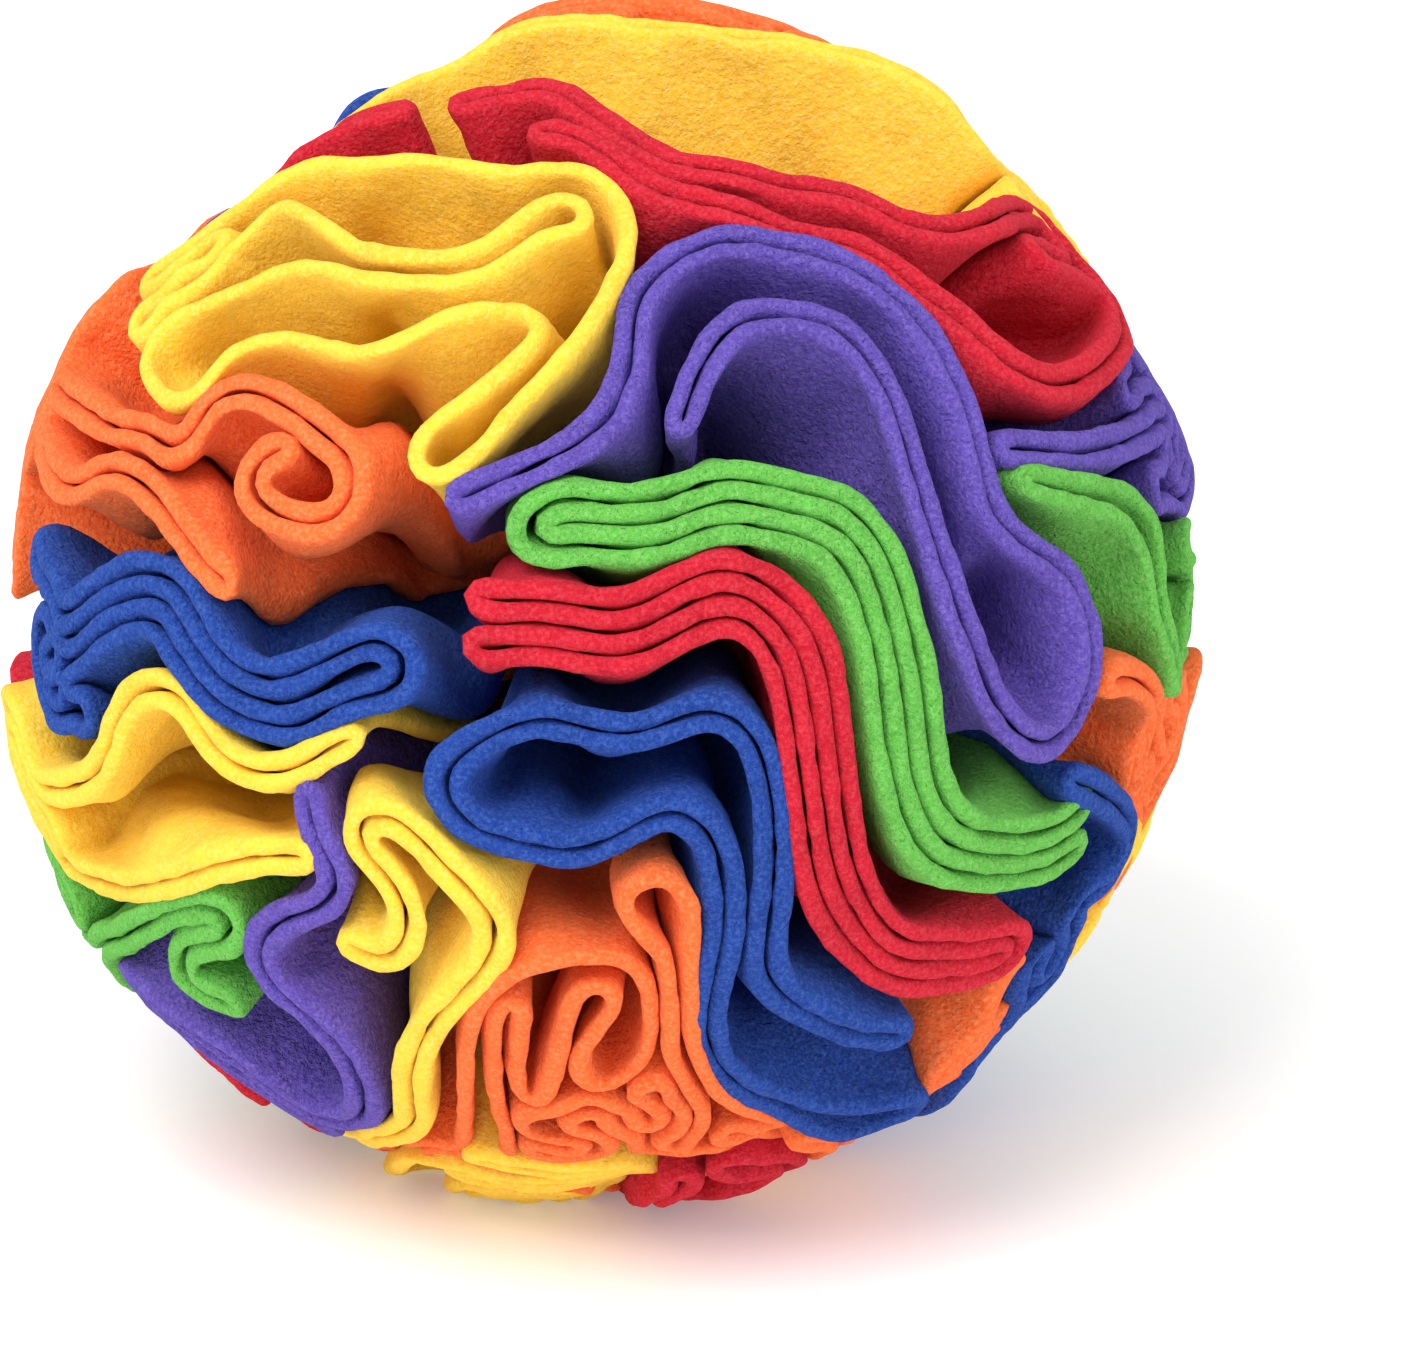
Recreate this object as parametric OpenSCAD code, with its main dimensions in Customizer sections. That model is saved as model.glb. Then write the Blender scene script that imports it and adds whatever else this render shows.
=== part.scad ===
// Snuffle ball: fleece discs, each folded into a wedge and strung by its tip on one cable tie.
// Row frame: +Z up, the ball rests on Z = 0, and the cable tie's axis is parallel to X.

/* [Ball] */
// Radius of the ball over the fleece rims
ball_r = 75; // [72:1:78]
// Height of the ball's centre above the surface, less than its radius because the fleece squashes
centre_z = 71.5; // [70:0.5:72]
// Distance from the ball's centre at which a folded wedge narrows into its neck
wedge_inner_r = 36; // [35.5:0.5:37]
// Tilt of the face map, the flat view that the near side's wedges are laid out on
map_tilt = 22; // [15:1:30]

/* [Cable tie] */
// Radius of the tie's loop, at the middle of the strap
loop_r = 18; // [17.5:0.5:18.5]
// Width of the strap
strap_w = 4.8; // [4.4:0.1:5]
// Thickness of the strap
strap_t = 1.4; // [1.2:0.1:1.5]
// Angle of the loop that the tie's head takes up
head_gap = 34; // [32:1:36]

/* [Necks] */
// Thickness of a pinched tip, along the loop
tip_t = 1.3; // [1.2:0.1:1.4]
// Clearance between the strap and the hole in each tip
strap_clear = 0.3; // [0.25:0.05:0.35]
// Diameter of the neck between a tip and its wedge
neck_d = 1.6; // [1.4:0.1:1.8]

/* [Hidden] */
RED = [0.80, 0.10, 0.15];
YELLOW = [1.00, 0.78, 0.12];
ORANGE = [0.98, 0.38, 0.15];
BLUE = [0.12, 0.26, 0.65];
GREEN = [0.36, 0.72, 0.22];
PURPLE = [0.40, 0.30, 0.72];
BLACK = [0.10, 0.10, 0.11];

// The tie's head: its angle round the loop, and its size along X, outwards and along the strap
head_side = -113;
head_size = [7.2, 5.6, 6.4];
// The tie's cut tail: its length, and the distance from the loop to its middle
tail_length = 5;
tail_offset = 4;
// Width and height of a pinched tip
tip_w = strap_w + 3.2;
tip_h = 5;
// The end of a neck that is sunk into its tip, and its distance above the tip's middle
neck_root = [2, 0.6, 0.8];
neck_root_offset = tip_h / 2 + 0.1;
// Least distance from the tie's axis at which a neck meets its wedge, to pass over the other tips
neck_lift = 26;
// Depth to which a neck is sunk into its wedge
neck_sink = 1;
// Share of a tip's place on the loop that is set by its own wedge; the rest is an even share
own_share = 0.25;
// How much a thicker place counts against one nearer the loop's plane, as a neck's place is chosen
thick_weight = 0.02;
// Sides of a neck's end and of the loop
neck_sides = 8;
loop_sides = 96;

// A point of a wedge's middle line: its direction from the ball's centre, the wedge's half
// thickness there and its rim radius. near() takes millimetres on the face map, right and up;
// around() takes degrees along the tie's axis from the loop's plane, and round that axis.
function near(x, y, half, rim = ball_r) =
    let (w = sqrt(max(rim * rim - x * x - y * y, 1)))
    let (v = [x, y * sin(map_tilt) - w * cos(map_tilt), y * cos(map_tilt) + w * sin(map_tilt)])
    [v / norm(v), half, rim];
function around(p, q, half, rim = ball_r) =
    [[sin(p), -cos(p) * cos(q), cos(p) * sin(q)], half, rim];

// The far side's wedges repeat: two leaves of one disc either side of a wavy middle line,
// in rows round the tie's axis, alternately left and right of the loop.
// Angles are in degrees, and the leaf's half thickness and least half gap are in millimetres.
far_first = 121;
far_pitch = 21;
far_wave = 6;
far_wave_turns = 5;
far_start = 3;
far_seam = 6;
far_short_end = 60;
far_long_end = 74;
far_half = 2.3;
far_least_gap = 3.1;
far_spans = 7;
function far_half_gap(p) = max(far_pitch * PI / 180 * ball_r * cos(p) / 4, far_least_gap);
function far_leaf(row, side, leaf, k) =
    let (long = (row + (side > 0 ? 1 : 0)) % 2 == 1)
    let (start = far_start + (long ? -far_seam : far_seam), end = long ? far_long_end : far_short_end)
    let (p = start + (end - start) * k / far_spans)
    let (q = far_first + far_pitch * row + far_wave * sin(far_wave_turns * p))
    around(side * p, q + leaf * far_half_gap(p) / (PI / 180 * ball_r * cos(p)), far_half);
function far_wedge(row, side) =
    [concat([for (k = [0:far_spans]) far_leaf(row, side, -1, k)],
            [for (k = [far_spans:-1:0]) far_leaf(row, side, 1, k)])];

// Every disc: name, colour and the middle lines of its folds
DISCS = [
    ["red_1", RED, [
        [near(-54, 45, 2.4), near(-48, 52, 2.8), near(-41, 57.5, 3), near(-33, 61, 2.8),
         near(-26, 61.5, 2.4)]]],
    ["red_2", RED, [
        [near(-19, 62.5, 2.2), near(-9, 64.5, 2.4), near(0, 61, 2.4), near(8, 56, 2.4),
         near(20, 52, 2.4), near(30, 48.5, 2.4), near(37, 44, 2.4)],
        [near(35, 45.5, 1.4), near(41, 40, 1.4), near(45, 33, 1.4, 76), near(50, 27.5, 1.4, 77),
         near(56, 26, 1.4, 78), near(62, 29, 1.4, 79), near(65.5, 35, 1.4, 79),
         near(64.5, 42, 1.4, 79), near(60, 48.5, 1.4, 79), near(53, 50.5, 1.4, 78),
         near(46, 47.5, 1.4, 77), near(40, 46, 1.4)]]],
    ["red_3", RED, [
        [near(-16, -2, 5.4), near(-7, -3, 5.6), near(4, -3, 5.6), near(14, 1, 5.4),
         near(21, 0, 5.2), near(26, -7, 5.2), near(28, -21, 5.2), near(30, -36, 5.2),
         near(35, -43.5, 5.4), near(44, -44.5, 5.4), near(53, -43, 4.6)]]],
    ["red_4", RED, [
        [around(-34, -66, 2.6), around(-42, -62, 3), around(-51, -59, 3), around(-59, -65, 2.4),
         around(-66, -72, 2)]]],
    ["red_5", RED, [
        [around(0, -64, 3.4), around(10, -60, 3.6), around(20, -60, 3.6), around(30, -62, 3.4),
         around(40, -62, 3)]]],
    ["yellow_1", YELLOW, [
        [around(-25, 90, 2.8), around(-16, 97, 3.6), around(-6, 99, 3.8), around(6, 99, 3.8),
         around(18, 100, 3.8), around(30, 103, 3.6), around(40, 106, 3), around(48, 106, 2.4)]]],
    ["yellow_2", YELLOW, [
        [near(-60, 37, 1.4), near(-53, 42, 1.4), near(-45, 48, 1.4), near(-36, 52.5, 1.4),
         near(-25, 54, 1.4), near(-14, 53.5, 1.4), near(-4, 52, 1.4), near(1, 47, 1.4),
         near(0.5, 40, 1.4), near(-4, 32, 1.4), near(-10, 25, 1.4), near(-15.5, 19, 1.5),
         near(-21, 16.5, 1.5)],
        [near(-60, 37, 1.4), near(-57, 31, 1.4), near(-50, 33, 1.6), near(-42, 36, 2.2),
         near(-34, 37, 2.4), near(-26, 36, 2.4), near(-18, 38, 2.4), near(-11, 43, 2.2),
         near(-6, 48, 1.4), near(-3, 52, 1.2)]]],
    ["yellow_3", YELLOW, [
        [near(-71, -20, 2.4), near(-66, -19, 3), near(-60, -13, 3), near(-55, -12.5, 3),
         near(-50, -19.5, 3), near(-45, -23.5, 3), near(-39, -23.5, 3), near(-34, -18.5, 2)],
        [near(-71, -20, 2.4), near(-69, -27, 2.2), near(-63, -31.5, 2.2), near(-55, -32.5, 2.2),
         near(-47, -31, 2.2), near(-41, -29.5, 2)]]],
    ["yellow_4", YELLOW, [
        [near(-28, -27, 2), near(-24, -28.5, 2.2), near(-19, -33, 2.4), near(-14.5, -37.5, 2.4),
         near(-13.5, -42, 2.4), near(-17, -47, 2.4), near(-22, -51, 2.4), near(-25, -56, 2.6),
         near(-25, -62, 2.6), near(-24, -68, 2.4)]]],
    ["yellow_5", YELLOW, [
        [around(-11, -53, 2.4), around(-4, -51, 2.6), around(3, -51, 2.6), around(9, -52, 2.2)]]],
    ["yellow_6", YELLOW, [
        [around(43, -70, 2.6), around(51, -68, 2.8), around(59, -66, 2.6), around(66, -66, 2.2)]]],
    ["orange_1", ORANGE, [
        [around(-14, 108.5, 2.2), around(-4, 109, 2.6), around(6, 109, 2.6), around(16, 110, 2.6),
         around(26, 112, 2.4)]]],
    ["orange_2", ORANGE, [
        [near(-49, 22, 1.4), near(-46, 26.5, 1.4), near(-38, 28, 1.4), near(-29, 24, 1.4),
         near(-25, 17, 1.4), near(-28, 10, 1.4), near(-35, 7, 1.4), near(-42, 8.5, 1.4),
         near(-44, 14, 1.4), near(-39.5, 18, 1.4)]]],
    ["orange_3", ORANGE, [
        [near(-66, 11, 3.2), near(-61, 15, 3.8), near(-55, 14, 3.4), near(-51, 9.5, 3),
         near(-47, 5, 2)]]],
    ["orange_4", ORANGE, [
        [near(-10, -39, 2.2), near(-4, -41, 2.2), near(1, -45.5, 2.2), near(2.5, -52, 2.2),
         near(0, -57, 2.2)],
        [near(-8, -40, 2.2), near(-9.5, -46, 2.4), near(-10.5, -53, 2.4), near(-13, -60, 2.4),
         near(-16, -64, 2.4)]]],
    ["orange_5", ORANGE, [
        [near(3.5, -33.5, 1.4), near(8.5, -35.5, 1.5), near(9, -43, 1.5), near(8.5, -51, 1.6),
         near(11, -59, 1.8), near(16.5, -64.5, 2.2), near(21, -67.5, 2.2)]]],
    ["orange_6", ORANGE, [
        [around(60, -7, 1.6), around(62, 3, 1.6), around(67, 4, 1.6), around(72, -8, 1.6),
         around(76, -32, 1.8), around(76, -62, 1.8)]]],
    ["orange_7", ORANGE, [
        [near(54, -50, 2.4), near(48, -54.5, 2.4), near(42, -58.5, 2.4), near(36, -62, 2.2)]]],
    ["blue_1", BLUE, [
        [near(-73, -11, 3.4), near(-68, -6, 4.6), near(-62, 0, 5), near(-55, 1, 5),
         near(-50, -6.5, 4.8), near(-45, -11.5, 4.8), near(-40, -12.5, 4.8), near(-34, -10, 4.8),
         near(-26, -8.5, 5)]]],
    ["blue_2", BLUE, [
        [near(-21.5, -18, 2.4), near(-18.5, -13, 2.4), near(-10, -12, 2.4), near(0, -14, 2.6),
         near(8, -14.5, 2.8), near(14, -15, 3), near(17, -19, 3.6), near(17.5, -26, 4.6),
         near(18, -34, 5.2), near(17, -45, 5.2), near(18, -51, 5.2), near(24, -56, 5.2),
         near(31, -59, 4.8)],
        [near(-21.5, -18, 1.4), near(-20, -24, 1.4), near(-14, -29.5, 1.4), near(-6, -32, 1.4),
         near(2, -30, 1.4), near(8, -27.5, 1.4), near(15, -28, 1.4)]]],
    ["blue_3", BLUE, [
        [around(62, -22, 2), around(66.5, -32, 2.2), around(66, -44, 2.2), around(59, -50, 2.2)]]],
    ["green_1", GREEN, [
        [near(-65, -36.5, 2), near(-58, -41, 2.6), near(-52, -42.5, 3.4), near(-48, -46, 3.2),
         near(-49, -50, 2.4)]]],
    ["green_2", GREEN, [
        [near(-9.5, 9, 4.4), near(-4, 9.5, 4.8), near(3, 9.5, 4.8), near(10, 11, 4.8),
         near(17, 12.5, 4.8), near(24, 12, 4.8), near(30, 9, 4.6), near(34, 3, 4.6),
         near(36.5, -6, 4.6), near(38, -14, 4.6), near(39, -22, 4.6), near(42, -29, 4.8),
         near(48, -31.5, 4.8), near(55, -30.5, 4.6), near(61, -28, 4)]]],
    ["green_3", GREEN, [
        [around(47, 38, 2.2), around(54, 40, 2.2), around(61, 38, 2.2), around(66, 29, 2.2),
         around(71, 20, 2), around(77, 16, 1.8)]]],
    ["purple_1", PURPLE, [
        [near(-34.5, -27.5, 1.8), near(-33.5, -32, 2.2), near(-32.5, -36, 2.2), near(-37, -40, 2.2),
         near(-40, -45, 2.2), near(-36.5, -50, 2.2), near(-33, -55, 2.2), near(-33, -61, 2.2)]]],
    ["purple_2", PURPLE, [
        [near(-17.5, 13, 2.6), near(-9, 17.5, 2.6), near(-1, 22, 2.4), near(5, 31, 3.6),
         near(8.5, 38, 4.4), near(17, 41.5, 4.6), near(26, 41, 4.6), near(33, 35.5, 4.8),
         near(38, 28, 5), near(41.5, 18, 5), near(44.5, 9, 5), near(48, 1, 4.6)],
        [near(46, -1, 1.4), near(46.5, -10, 1.4), near(49.5, -16.5, 1.4), near(54, -18.5, 1.4),
         near(59, -16, 1.4), near(62, -10, 1.4), near(62.5, -3, 1.4), near(60, 3, 1.4),
         near(55.5, 6.5, 1.4), near(49, 5, 1.4)]]],
    ["purple_3", PURPLE, [
        [around(46, 45, 2), around(54, 47, 2.2), around(61, 53, 2.2), around(67, 68, 2.2),
         around(70, 92, 2)]]],
    ["red_6", RED, far_wedge(1, 1)],
    ["red_7", RED, far_wedge(5, -1)],
    ["yellow_7", YELLOW, far_wedge(3, 1)],
    ["blue_4", BLUE, far_wedge(0, -1)],
    ["blue_5", BLUE, far_wedge(2, 1)],
    ["blue_6", BLUE, far_wedge(6, 1)],
    ["blue_7", BLUE, far_wedge(4, -1)],
    ["green_4", GREEN, far_wedge(1, -1)],
    ["green_5", GREEN, far_wedge(3, -1)],
    ["green_6", GREEN, far_wedge(5, 1)],
    ["green_7", GREEN, far_wedge(7, -1)],
    ["purple_4", PURPLE, far_wedge(2, -1)],
    ["purple_5", PURPLE, far_wedge(4, 1)],
    ["purple_6", PURPLE, far_wedge(6, -1)],
    ["purple_7", PURPLE, far_wedge(7, 1)]
];
COUNT = len(DISCS);

// A closed-form smooth curve through a list of points, two sections to each span
function through(a, b, c, d, t) =
    0.5 * (2 * b + (c - a) * t + (2 * a - 5 * b + 4 * c - d) * t ^ 2 + (3 * b - a - 3 * c + d) * t ^ 3);
function blended(a, b, c, d, t) =
    let (v = through(a[0], b[0], c[0], d[0], t))
    [v / norm(v), through(a[1], b[1], c[1], d[1], t), through(a[2], b[2], c[2], d[2], t)];
function smooth(line) =
    let (last = len(line) - 1)
    [for (i = [0:last])
        for (t = i < last ? [0, 0.5] : [0])
            blended(line[max(i - 1, 0)], line[i], line[min(i + 1, last)], line[min(i + 2, last)], t)];

// The fleece ends at the rim, or on the surface that the ball is squashed against
function reach(v, rim) = v[2] < 0 ? min(rim, centre_z / -v[2]) : rim;
function unit(v) = v / norm(v);
function section(line, i) =
    let (last = len(line) - 1, v = line[i][0])
    let (along = line[min(i + 1, last)][0] - line[max(i - 1, 0)][0])
    let (across = unit(cross(v, along)) * line[i][1] / ball_r)
    let (left = unit(v + across), right = unit(v - across))
    [left * wedge_inner_r, right * wedge_inner_r,
     right * reach(right, line[i][2]), left * reach(left, line[i][2])];

// One fold: a wall of even angular thickness that follows its middle line
module fold(line) {
    curve = smooth(line);
    count = len(curve);
    points = [for (i = [0:count - 1]) each section(curve, i)];
    sides = [for (i = [0:count - 2]) for (k = [0:3])
        let (a = 4 * i + k, b = 4 * i + (k + 1) % 4)
        each [[a, b, b + 4], [a, b + 4, a + 4]]];
    end = 4 * (count - 1);
    caps = [[0, 2, 1], [0, 3, 2], [end, end + 1, end + 2], [end, end + 2, end + 3]];
    polyhedron(points, concat(sides, caps), convexity = 8);
}

// Each disc joins its neck at the thick point of its first fold that is nearest the loop's plane
function root_cost(point) = abs(point[0][0]) - thick_weight * point[1];
function root_point(disc) =
    let (line = disc[2][0], costs = [for (point = line) root_cost(point)])
    line[search(min(costs), costs)[0]][0];
function turn_of(v) = let (q = atan2(v[2], -v[1])) q < head_side ? q + 360 : q;

// The tips are strung in the order of their wedges round the loop, from the tie's head onwards
function slot_of(i) =
    let (mine = turn_of(root_point(DISCS[i])) + i / 1000)
    len([for (j = [0:COUNT - 1]) if (turn_of(root_point(DISCS[j])) + j / 1000 < mine) 1]);
function even_turn(slot) = head_side + head_gap / 2 + (360 - head_gap) * (slot + 0.5) / COUNT;
function clear_of_head(turn) = max(head_side + head_gap / 2, min(turn, head_side + 360 - head_gap / 2));
function slot_turn(i) =
    (1 - own_share) * even_turn(slot_of(i)) + own_share * clear_of_head(turn_of(root_point(DISCS[i])));

// Moves its children to the loop, at an angle round the tie's axis from the near side upwards
module at_loop(turn) {
    rotate([-turn, 0, 0])
        translate([0, -loop_r, 0])
            children();
}

module tip(turn) {
    at_loop(turn)
        difference() {
            cube([tip_w, tip_h, tip_t], center = true);
            cube([strap_w + 2 * strap_clear, strap_t + 2 * strap_clear, 2 * tip_t], center = true);
        }
}

module neck(turn, v) {
    hull() {
        at_loop(turn)
            translate([0, -neck_root_offset, 0])
                cube(neck_root, center = true);
        translate(v * max(wedge_inner_r + neck_sink, neck_lift / norm([v[1], v[2]])))
            sphere(d = neck_d, $fn = neck_sides);
    }
}

module fleece_disc(i) {
    turn = slot_turn(i);
    color(DISCS[i][1])
        translate([0, 0, centre_z]) {
            for (line = DISCS[i][2])
                fold(line);
            neck(turn, root_point(DISCS[i]));
            tip(turn);
        }
}

// The tie: its closed strap, the head it locks in and the short cut tail
module cable_tie() {
    color(BLACK)
        translate([0, 0, centre_z]) {
            rotate([0, 90, 0])
                rotate_extrude($fn = loop_sides)
                    translate([loop_r, 0])
                        square([strap_t, strap_w], center = true);
            at_loop(head_side)
                cube(head_size, center = true);
            at_loop(head_side)
                translate([0, tail_offset, 0])
                    cube([strap_w, tail_length, strap_t], center = true);
        }
}

cable_tie();
for (i = [0:COUNT - 1])
    fleece_disc(i);
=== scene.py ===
"""Snuffle ball: fleece discs, each folded into a wedge and strung by its tip on one cable tie.

The rims that show are laid out fold by fold. Each disc's hidden rim then grows to a disc's length,
and the wall of fleece runs from the rim to the tip. Lengths are millimetres until a mesh is made in
metres.
"""
import math

import bpy
import numpy as np
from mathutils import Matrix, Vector


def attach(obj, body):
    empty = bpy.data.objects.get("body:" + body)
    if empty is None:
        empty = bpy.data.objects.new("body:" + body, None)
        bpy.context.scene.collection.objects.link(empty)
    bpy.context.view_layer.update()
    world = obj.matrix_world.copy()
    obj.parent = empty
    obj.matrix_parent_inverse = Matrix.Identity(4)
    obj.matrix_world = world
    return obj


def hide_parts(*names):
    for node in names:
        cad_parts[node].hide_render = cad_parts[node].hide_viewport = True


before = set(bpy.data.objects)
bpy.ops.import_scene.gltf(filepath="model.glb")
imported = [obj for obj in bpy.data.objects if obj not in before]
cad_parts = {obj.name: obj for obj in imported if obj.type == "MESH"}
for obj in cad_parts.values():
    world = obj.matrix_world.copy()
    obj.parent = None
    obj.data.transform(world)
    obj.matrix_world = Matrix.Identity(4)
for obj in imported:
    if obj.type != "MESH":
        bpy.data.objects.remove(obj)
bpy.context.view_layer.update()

# The ball
BALL_R = 75.0
CENTRE_Z = 71.5
CENTRE = np.array([0.0, 0.0, CENTRE_Z])
MAP_TILT = math.radians(22)

# The fleece: its thickness with the nap, and the flat disc
LAYER = 2.75

# The tie's loop, the angle its head is at and the angle its head takes up, as in the CAD
LOOP_R = 18.0
HEAD_SIDE = -113.0
HEAD_GAP = 34.0


def near(x, y):
    """A direction from the face map: millimetres right and up on the near side."""
    depth = math.sqrt(max(BALL_R**2 - x * x - y * y, 1.0))
    tilt_sin, tilt_cos = math.sin(MAP_TILT), math.cos(MAP_TILT)
    v = np.array([x, y * tilt_sin - depth * tilt_cos, y * tilt_cos + depth * tilt_sin])
    return v / np.linalg.norm(v)


def around(p, q):
    """A direction from degrees along the tie's axis and degrees round it."""
    p, q = math.radians(p), math.radians(q)
    return np.array([math.sin(p), -math.cos(p) * math.cos(q), math.cos(p) * math.sin(q)])


def unit(v):
    return v / np.linalg.norm(v, axis=-1, keepdims=True)


def eased(x, low, high):
    """A smooth step from 0 at low to 1 at high."""
    t = np.clip((x - low) / (high - low), 0, 1)
    return t * t * (3 - 2 * t)


def spline(points, closed, per_span=8):
    """A Catmull-Rom curve through the points."""
    p = np.asarray(points, float)
    if closed:
        a, b, c, d = np.roll(p, 1, 0), p, np.roll(p, -1, 0), np.roll(p, -2, 0)
    else:
        q = np.vstack([p[:1], p, p[-1:]])
        a, b, c, d = q[:-3], q[1:-2], q[2:-1], q[3:]
    a, b, c, d = (v[:, None, :] for v in (a, b, c, d))
    t = np.arange(per_span)[None, :, None] / per_span
    square, cube = 2 * a - 5 * b + 4 * c - d, 3 * b - a - 3 * c + d
    out = 0.5 * (2 * b + (c - a) * t + square * t**2 + cube * t**3)
    out = out.reshape(-1, p.shape[1])
    return out if closed else np.vstack([out, p[-1:]])


def resample(points, count, closed):
    """The same curve with evenly spaced points."""
    p = np.vstack([points, points[:1]]) if closed else np.asarray(points)
    step = np.linalg.norm(np.diff(p[:, :3], axis=0), axis=1)
    at = np.concatenate([[0], np.cumsum(step)])
    want = np.linspace(0, at[-1], count + 1)[:-1] if closed else np.linspace(0, at[-1], count)
    return np.stack([np.interp(want, at, p[:, k]) for k in range(p.shape[1])], axis=1)


def length(points, closed=True):
    p = np.vstack([points, points[:1]]) if closed else points
    return np.linalg.norm(np.diff(p[:, :3], axis=0), axis=1).sum()


def beside(path, gap):
    """The path moved sideways on the sphere; gap is millimetres, one value or one for each point."""
    side = unit(np.cross(path, np.gradient(path, axis=0)))
    return unit(path + side * np.reshape(gap, (-1, 1)) / BALL_R)


# Ribbons: the turns of a round end, the spacing of points, the fewest points, and a pocket's start
END_TURNS = np.linspace(0, math.pi, 7)[1:-1]
RIBBON_STEP = 1.2
RIBBON_LEAST = 12
PACK_STEP = 2.0
PACK_LEAST = 10
POCKET_FROM = 0.75


def round_end(tip, inside, gap):
    """Directions on the half circle that closes a ribbon's end."""
    out = unit(tip - inside)
    side = unit(np.cross(tip, out))
    return [unit(tip + (side * math.cos(a) + out * math.sin(a)) * gap / BALL_R) for a in END_TURNS]


def ribbon(points):
    """A closed rim of two layers along a path of (direction, half gap between the layers' middles)."""
    curve = spline([[*v, g] for v, g in points], False)
    count = max(int(length(curve * BALL_R, False) / RIBBON_STEP), RIBBON_LEAST)
    curve = resample(curve, count, False)
    path, gap = unit(curve[:, :3]), curve[:, 3]
    end = round_end(path[-1], path[-2], gap[-1])
    start = round_end(path[0], path[1], gap[0])
    return np.vstack([beside(path, gap), end, beside(path, -gap)[::-1], start])


def pack(points, bend, pocket=0.0):
    """A closed rim of four layers: a ribbon folded in half, with its bend at one end of the line."""
    curve = spline([v for v, _ in points], False)
    count = max(int(length(curve * BALL_R, False) / PACK_STEP), PACK_LEAST)
    line = unit(resample(curve, count, False))
    if bend == "start":
        line = line[::-1]
    share = (np.linspace(0, 1, count) - POCKET_FROM) / (1 - POCKET_FROM)
    half = LAYER + pocket * np.clip(share, 0, 1)
    turn = round_end(line[-1], line[-2], half[-1])
    path = np.vstack([beside(line, half), turn, beside(line, -half)[::-1]])
    return ribbon([(v, LAYER / 2) for v in path[::2]])


def face(*points, gap=LAYER / 2):
    """Points of a near-side ribbon: x and y on the face map, and a half gap where it differs."""
    return [(near(*p[:2]), p[2] if len(p) > 2 else gap) for p in points]


def far(*points, gap=LAYER / 2):
    """Points of a ribbon given in degrees along and round the tie's axis."""
    return [(around(*p), gap) for p in points]


def closed(*points):
    """A closed rim of one layer round a wide fold, on the face map."""
    return unit(spline([near(*p) for p in points], True))


# The far side's rows, in degrees, as in the CAD
FAR_FIRST = 121
FAR_PITCH = 21
FAR_WAVE = 6
FAR_WAVE_TURNS = 5
FAR_START = 3
FAR_SEAM = 6
FAR_SHORT_END = 62
FAR_LONG_END = 76
FAR_LEAST_GAP = 3.1
FAR_SPANS = 7


def far_wedge(row, side):
    """A far-side disc: a ribbon that runs out from the loop's plane and back, round an open fold."""
    long = (row + (side > 0)) % 2 == 1
    start = FAR_START + (-FAR_SEAM if long else FAR_SEAM)
    end = FAR_LONG_END if long else FAR_SHORT_END
    out = []
    for leaf in (-1, 1):
        for k in range(FAR_SPANS + 1)[:: -leaf]:
            p = start + (end - start) * k / FAR_SPANS
            q = FAR_FIRST + FAR_PITCH * row + FAR_WAVE * math.sin(math.radians(FAR_WAVE_TURNS * p))
            arc = math.radians(1) * BALL_R * math.cos(math.radians(p))
            out.append((side * p, q + leaf * max(FAR_PITCH * arc / 4, FAR_LEAST_GAP) / arc))
    return ribbon(far(*out))


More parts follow.
